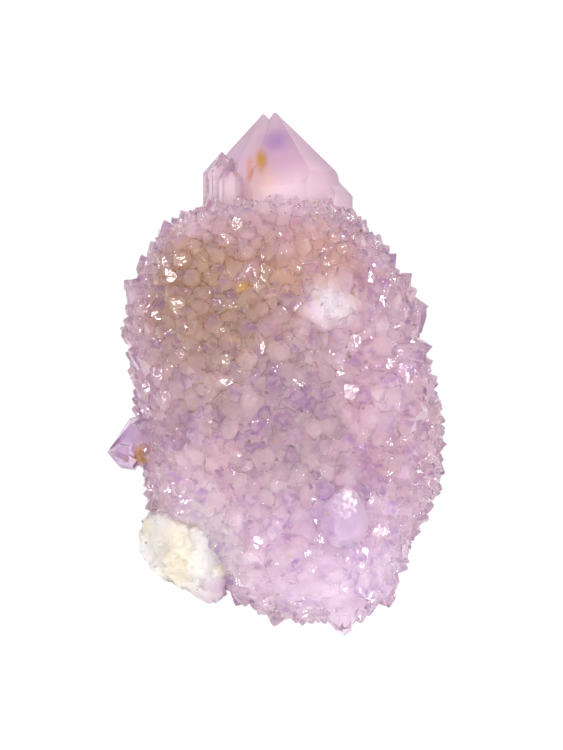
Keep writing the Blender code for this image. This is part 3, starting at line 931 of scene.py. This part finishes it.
def crackled(tree, place, noise):
    """The crackled facet: shards of a random mesh, with gaps between them, inside its patch."""
    shards = node(tree, "ShaderNodeTexVoronoi", {"Vector": place, "Scale": SHARD_SCALE}).outputs
    number = node(tree, "ShaderNodeSeparateColor", {"Color": shards["Color"]}).outputs[0]
    near = reckon(tree, "LESS_THAN", shards["Distance"], 0.55)
    shown = reckon(tree, "MULTIPLY", reckon(tree, "GREATER_THAN", number, 0.25), near)
    return reckon(tree, "MULTIPLY", patch_at(tree, place, noise, *CRACKLE), shown)


def clear_finish(colours):
    """Clear lilac quartz: purple under each tip and rougher in the valleys, with tinted light inside."""
    material = bpy.data.materials.new("clear_lilac_quartz")
    material.use_nodes = True
    tree = material.node_tree
    tree.nodes.clear()
    place = node(tree, "ShaderNodeTexCoord").outputs["Object"]
    below, over = attribute(tree, "below_tip"), attribute(tree, "over_body")
    shade, facet = attribute(tree, "crystal_shade"), attribute(tree, "facet_shade")
    milky, large = attribute(tree, "milky"), attribute(tree, "large")
    blotches = blotched(tree, place)
    frost = patch_at(tree, place, blotches, *FROST)
    crackle = crackled(tree, place, blotches)

    colour = mixed(tree, ramp(tree, shade, 0.3, 1.0), colours.clear, colours.tinted)
    # Painted shade: some faces of the larger crystals, picked at random, are painted a darker mauve to stand
    # in for the shading between facets
    painted_shade_share = reckon(tree, "MULTIPLY", ramp(tree, facet, 0.3, 0.9), ramp(tree, large, 2.2, 2.6))
    colour = mixed(tree, reckon(tree, "MULTIPLY", painted_shade_share, 0.9), colour, colours.painted_facet_shade)
    colour = stains_and_painted_light(tree, colour, place, blotches, True)
    colour = mixed(tree, tip_purple(tree, place, below, shade, large), colour, colours.purple)
    colour = mixed(tree, frost, colour, FROST_COLOUR)
    colour = mixed(tree, milky, colour, lump_colour(tree, place, blotches, colours))
    colour = specked(tree, colour, colours)

    uncracked = reckon(tree, "SUBTRACT", 1.0, crackle)
    broad = reckon(tree, "MULTIPLY", ramp(tree, large, 4.2, 5.0), uncracked)
    valley = ramp(tree, over, 0.1, -0.4)
    rough = reckon(tree, "MULTIPLY_ADD", facet, 0.05, 0.015)
    for patch, least in ((milky, 0.3), (broad, 0.5), (crackle, 0.2), (frost, 0.35), (valley, 0.5)):
        rough = reckon(tree, "MAXIMUM", rough, reckon(tree, "MULTIPLY", patch, least))
    grain = noise_at(tree, place, GRAIN_SCALE, 2.0)
    sugary = reckon(tree, "MULTIPLY_ADD", reckon(tree, "MAXIMUM", milky, frost), 0.6, 0.12)
    height = reckon(tree, "MULTIPLY", grain, sugary)
    bump = node(tree, "ShaderNodeBump", {"Height": height, "Strength": 1.0, "Distance": 0.0003}).outputs[0]
    shader = node(
        tree,
        "ShaderNodeBsdfPrincipled",
        {
            "Base Color": colour,
            "Roughness": rough,
            "Normal": bump,
            "IOR": QUARTZ_IOR,
            "Transmission Weight": 0.85,
            "Subsurface Weight": 0.5,
            "Subsurface Radius": (1.0, 1.0, 1.0),
            "Subsurface Scale": 0.002,
        },
    )
    absorbed = {"Color": colours.inside, "Density": colours.inside_density}
    inside = node(tree, "ShaderNodeVolumeAbsorption", absorbed)
    out = node(tree, "ShaderNodeOutputMaterial")
    tree.links.new(shader.outputs[0], out.inputs["Surface"])
    tree.links.new(inside.outputs[0], out.inputs["Volume"])
    return material


def core_finish(colours):
    """Milky quartz: cloudy, discoloured in patches, with painted light on the lower end, and soft with light
    scattered under its surface.
    """
    material = bpy.data.materials.new("milky_quartz")
    material.use_nodes = True
    tree = material.node_tree
    tree.nodes.clear()
    place = node(tree, "ShaderNodeTexCoord").outputs["Object"]
    cloud = noise_at(tree, place, CLOUD_SCALE, 5.0)
    fine = noise_at(tree, place, MILK_SCALE, 4.0)
    colour = mixed(tree, ramp(tree, cloud, 0.35, 0.65), colours.root, colours.pale)
    blotches = blotched(tree, place)
    colour = stains_and_painted_light(tree, colour, place, blotches, False)
    colour = mixed(tree, reckon(tree, "MULTIPLY", ramp(tree, fine, 0.55, 0.7), 0.3), colour, colours.pale)
    colour = mixed(tree, attribute(tree, "milky"), colour, lump_colour(tree, place, blotches, colours))
    bump = node(tree, "ShaderNodeBump", {"Height": fine, "Strength": 0.4, "Distance": 0.0008}).outputs[0]
    shader = node(
        tree,
        "ShaderNodeBsdfPrincipled",
        {
            "Base Color": colour,
            "Roughness": reckon(tree, "MULTIPLY_ADD", fine, 0.3, 0.4),
            "Normal": bump,
            "Subsurface Weight": 0.4,
            "Subsurface Radius": (1.0, 1.0, 1.0),
            "Subsurface Scale": 0.0015,
        },
    )
    out = node(tree, "ShaderNodeOutputMaterial")
    tree.links.new(shader.outputs[0], out.inputs["Surface"])
    return material


def floor_finish(colour):
    """A plain pale floor with the faintest unevenness."""
    material = bpy.data.materials.new("pale_floor")
    material.use_nodes = True
    tree = material.node_tree
    place = node(tree, "ShaderNodeTexCoord").outputs["Object"]
    noise = noise_at(tree, place, FLOOR_SCALE, 3.0)
    tone = mixed(tree, ramp(tree, noise, 0.3, 0.7), colour, tuple(c * 0.99 for c in colour[:3]) + (1.0,))
    shader = tree.nodes["Principled BSDF"]
    tree.links.new(tone, shader.inputs["Base Color"])
    shader.inputs["Roughness"].default_value = 0.9
    return material


def spiral_places(count):
    """Places in metres on a dome: each turns on by the golden angle, and their heights are spaced evenly."""
    n = np.arange(count) + 0.5
    up = SPIRAL_LOWEST + SPIRAL_RISE * n / count
    turn = n * math.pi * (3 - math.sqrt(5))
    out = np.sqrt(1 - up**2)
    return (SPIRAL_RADIUS * np.stack([out * np.cos(turn), out * np.sin(turn), up], axis=1)).tolist()


def area_light(name, place, size, power):
    """A round area light that faces the cluster."""
    data = bpy.data.lights.new(name, "AREA")
    data.shape = "DISK"
    data.size = size
    data.energy = power
    light = bpy.data.objects.new(name, data)
    light.location = place
    light.rotation_euler = (Vector(AIMED_AT) - Vector(place)).to_track_quat("-Z", "Y").to_euler()
    bpy.context.scene.collection.objects.link(light)


def lay_floor(colour):
    """A square floor round the origin."""
    mesh = bpy.data.meshes.new("floor")
    half = FLOOR_HALF
    corners = [(-half, -half, 0), (half, -half, 0), (half, half, 0), (-half, half, 0)]
    mesh.from_pydata(corners, [], [(0, 1, 2, 3)])
    mesh.materials.append(floor_finish(colour))
    floor = bpy.data.objects.new("floor", mesh)
    bpy.context.scene.collection.objects.link(floor)


def white_room(brightness):
    """An evenly bright white world."""
    world = bpy.data.worlds.new("white_room")
    world.use_nodes = True
    backdrop = world.node_tree.nodes["Background"]
    backdrop.inputs["Color"].default_value = (1.0, 1.0, 1.0, 1.0)
    backdrop.inputs["Strength"].default_value = brightness
    return world


def overhead_camera(height):
    """A camera over the photograph's middle, with its scale at the height of the body's axis."""
    pixel = PHOTO_MM * MM
    data = bpy.data.cameras.new("camera")
    data.sensor_width = SENSOR_MM
    data.lens = SENSOR_MM * height / (PHOTO_PIXELS[1] * pixel)
    camera = bpy.data.objects.new("camera", data)
    camera.location = (
        (PHOTO_PIXELS[0] / 2 - PHOTO_AXIS_PIXEL[0]) * pixel,
        (PHOTO_AXIS_PIXEL[1] - PHOTO_PIXELS[1] / 2) * pixel,
        height + BODY_AXIS_Z * MM,
    )
    bpy.context.scene.collection.objects.link(camera)
    return camera


class ClusterSettings(bpy.types.PropertyGroup):
    """How the cluster grows."""

    small_count: bpy.props.IntProperty(
        name="Small Crystals", description="Crystals tried between the crust's own", default=2500, min=0
    )
    grain_count: bpy.props.IntProperty(
        name="Finest Crystals", description="Crystals tried in what is left of the valleys",
        default=1000, min=0,
    )
    core_depth: bpy.props.FloatProperty(
        name="Core Depth", description="How far the milky core lies under the skin", default=0.85 * MM, min=0,
        subtype="DISTANCE", unit="LENGTH",
    )
    point_depth: bpy.props.FloatProperty(
        name="Point Depth", description="How far the milky core lies under the faces of the large points",
        default=2.6 * MM, min=0, subtype="DISTANCE", unit="LENGTH",
    )


class ColourSettings(bpy.types.PropertyGroup):
    """Colours of the quartz."""

    root: bpy.props.FloatVectorProperty(
        name="Milky Roots", description="Milky quartz under the crystals", size=4, subtype="COLOR",
        default=(0.76, 0.5, 0.54, 1.0), min=0, max=1,
    )
    pale: bpy.props.FloatVectorProperty(
        name="Pale Clouds", description="Paler clouds in the milky quartz", size=4, subtype="COLOR",
        default=(0.83, 0.64, 0.71, 1.0), min=0, max=1,
    )
    clear: bpy.props.FloatVectorProperty(
        name="Clear Quartz", description="Tint of the clear crystals", size=4, subtype="COLOR",
        default=(0.96, 0.86, 0.91, 1.0), min=0, max=1,
    )
    tinted: bpy.props.FloatVectorProperty(
        name="Tinted Quartz", description="Tint of the deeper coloured crystals", size=4, subtype="COLOR",
        default=(0.9, 0.78, 0.88, 1.0), min=0, max=1,
    )
    purple: bpy.props.FloatVectorProperty(
        name="Purple Tips", description="Amethyst under the crystals' tips", size=4, subtype="COLOR",
        default=(0.55, 0.39, 0.73, 1.0), min=0, max=1,
    )
    # Painted shade: the darker mauve painted on some faces of the larger crystals, for the shading between
    # facets
    painted_facet_shade: bpy.props.FloatVectorProperty(
        name="Veiled Faces", description="Mauve of large crystals' darker faces", size=4, subtype="COLOR",
        default=(0.78, 0.64, 0.79, 1.0), min=0, max=1,
    )
    milk: bpy.props.FloatVectorProperty(
        name="Milky Lump", description="The broken lump's white quartz", size=4, subtype="COLOR",
        default=(0.98, 0.96, 0.94, 1.0), min=0, max=1,
    )
    milk_stain: bpy.props.FloatVectorProperty(
        name="Lump's Stain", description="Pale yellow clouds in the lump", size=4, subtype="COLOR",
        default=(0.97, 0.9, 0.76, 1.0), min=0, max=1,
    )
    milk_shade: bpy.props.FloatVectorProperty(
        name="Lump's Shade", description="Rosy grey clouds in the lump", size=4, subtype="COLOR",
        default=(0.95, 0.88, 0.87, 1.0), min=0, max=1,
    )
    yellow: bpy.props.FloatVectorProperty(
        name="Yellow Specks", description="Iron stained grains", size=4, subtype="COLOR",
        default=(0.85, 0.6, 0.15, 1.0), min=0, max=1,
    )
    dark: bpy.props.FloatVectorProperty(
        name="Dark Specks", description="Dark grains in the valleys", size=4, subtype="COLOR",
        default=(0.2, 0.1, 0.08, 1.0), min=0, max=1,
    )
    inside: bpy.props.FloatVectorProperty(
        name="Inner Tint", description="Tint of the light that crosses the quartz", size=4, subtype="COLOR",
        default=(0.85, 0.64, 0.76, 1.0), min=0, max=1,
    )
    inside_density: bpy.props.FloatProperty(
        name="Inner Tint Density", description="How quickly the inner tint deepens", default=130.0, min=0
    )


class StageSettings(bpy.types.PropertyGroup):
    """Floor, lights and camera."""

    floor: bpy.props.FloatVectorProperty(
        name="Floor", description="The floor's colour", size=4, subtype="COLOR",
        default=(0.9, 0.905, 0.92, 1.0), min=0, max=1,
    )
    sky: bpy.props.FloatProperty(
        name="Room Light", description="Brightness of the white room", default=0.68, min=0
    )
    key: bpy.props.FloatProperty(
        name="Soft Key", description="Power of the large soft light in watts", default=0.38, min=0
    )
    glints: bpy.props.FloatProperty(
        name="Glints", description="Power in watts of each small light that the facets mirror",
        default=0.18, min=0,
    )
    camera_height: bpy.props.FloatProperty(
        name="Camera Height", description="Camera's height over the middle of the cluster", default=0.5,
        subtype="DISTANCE", unit="LENGTH",
    )


class OBJECT_OT_spirit_quartz_grow(bpy.types.Operator):
    """Grow the clear crystals of the cluster over the plain solid"""

    bl_idname = "object.spirit_quartz_grow"
    bl_label = "Grow Clear Crystals"

    def execute(self, context):
        cluster, rows = grown_cluster(context.scene.quartz_cluster)
        finish_piece(cluster, rows, clear_finish(context.scene.quartz_colours))
        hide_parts(NODE)
        return {"FINISHED"}


class OBJECT_OT_spirit_quartz_core(bpy.types.Operator):
    """Grow the milky core that shows through the clear crystals"""

    bl_idname = "object.spirit_quartz_core"
    bl_label = "Grow Milky Core"

    def execute(self, context):
        core, rows = grown_core(context.scene.quartz_cluster)
        finish_piece(core, rows, core_finish(context.scene.quartz_colours))
        return {"FINISHED"}


def finish_piece(piece, rows, material):
    """Describes a fused piece for its finish, gives it the finish and lets it ride on the body."""
    if len(piece.data.polygons) < FEWEST_FACES:
        raise RuntimeError("the crystals didn't fuse with the body")
    describe_surface(piece.data, rows)
    piece.data.materials.clear()
    piece.data.materials.append(material)
    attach(piece, BODY)


class OBJECT_OT_spirit_quartz_stage(bpy.types.Operator):
    """Lay the floor, hang the lights and set the camera"""

    bl_idname = "object.spirit_quartz_stage"
    bl_label = "Set Stage"

    def execute(self, context):
        settings = context.scene.quartz_stage
        scene = context.scene
        lay_floor(tuple(settings.floor))
        scene.world = white_room(settings.sky)
        area_light("soft_key", KEY_PLACE, KEY_SIZE, settings.key)
        for number, place in enumerate([*GLINT_PLACES, *spiral_places(SPIRAL_COUNT)]):
            area_light(f"glint_{number:02d}", place, GLINT_SIZE, settings.glints)
        scene.camera = overhead_camera(settings.camera_height)
        scene.view_settings.view_transform = "Standard"
        return {"FINISHED"}


class VIEW3D_PT_spirit_quartz(bpy.types.Panel):
    """Growing and staging the spirit quartz cluster"""

    bl_idname = "VIEW3D_PT_spirit_quartz"
    bl_label = "Spirit Quartz"
    bl_space_type = "VIEW_3D"
    bl_region_type = "UI"
    bl_category = "Spirit Quartz"

    def draw(self, context):
        scene = context.scene
        for title, settings, operator in (
            ("Growth", scene.quartz_cluster, OBJECT_OT_spirit_quartz_grow.bl_idname),
            ("Colours", scene.quartz_colours, OBJECT_OT_spirit_quartz_core.bl_idname),
            ("Stage", scene.quartz_stage, OBJECT_OT_spirit_quartz_stage.bl_idname),
        ):
            box = self.layout.box()
            box.label(text=title)
            for name in settings.__annotations__:
                box.prop(settings, name)
            box.operator(operator)


CLASSES = (
    ClusterSettings,
    ColourSettings,
    StageSettings,
    OBJECT_OT_spirit_quartz_grow,
    OBJECT_OT_spirit_quartz_core,
    OBJECT_OT_spirit_quartz_stage,
    VIEW3D_PT_spirit_quartz,
)


def register():
    """Adds the classes and the scene's settings."""
    for entry in CLASSES:
        bpy.utils.register_class(entry)
    bpy.types.Scene.quartz_cluster = bpy.props.PointerProperty(type=ClusterSettings)
    bpy.types.Scene.quartz_colours = bpy.props.PointerProperty(type=ColourSettings)
    bpy.types.Scene.quartz_stage = bpy.props.PointerProperty(type=StageSettings)


def unregister():
    """Takes them away again."""
    del bpy.types.Scene.quartz_stage
    del bpy.types.Scene.quartz_colours
    del bpy.types.Scene.quartz_cluster
    for entry in reversed(CLASSES):
        bpy.utils.unregister_class(entry)


def main():
    """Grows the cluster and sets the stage."""
    register()
    bpy.ops.object.spirit_quartz_stage()
    bpy.ops.object.spirit_quartz_grow()
    bpy.ops.object.spirit_quartz_core()


if __name__ == "__main__":
    main()
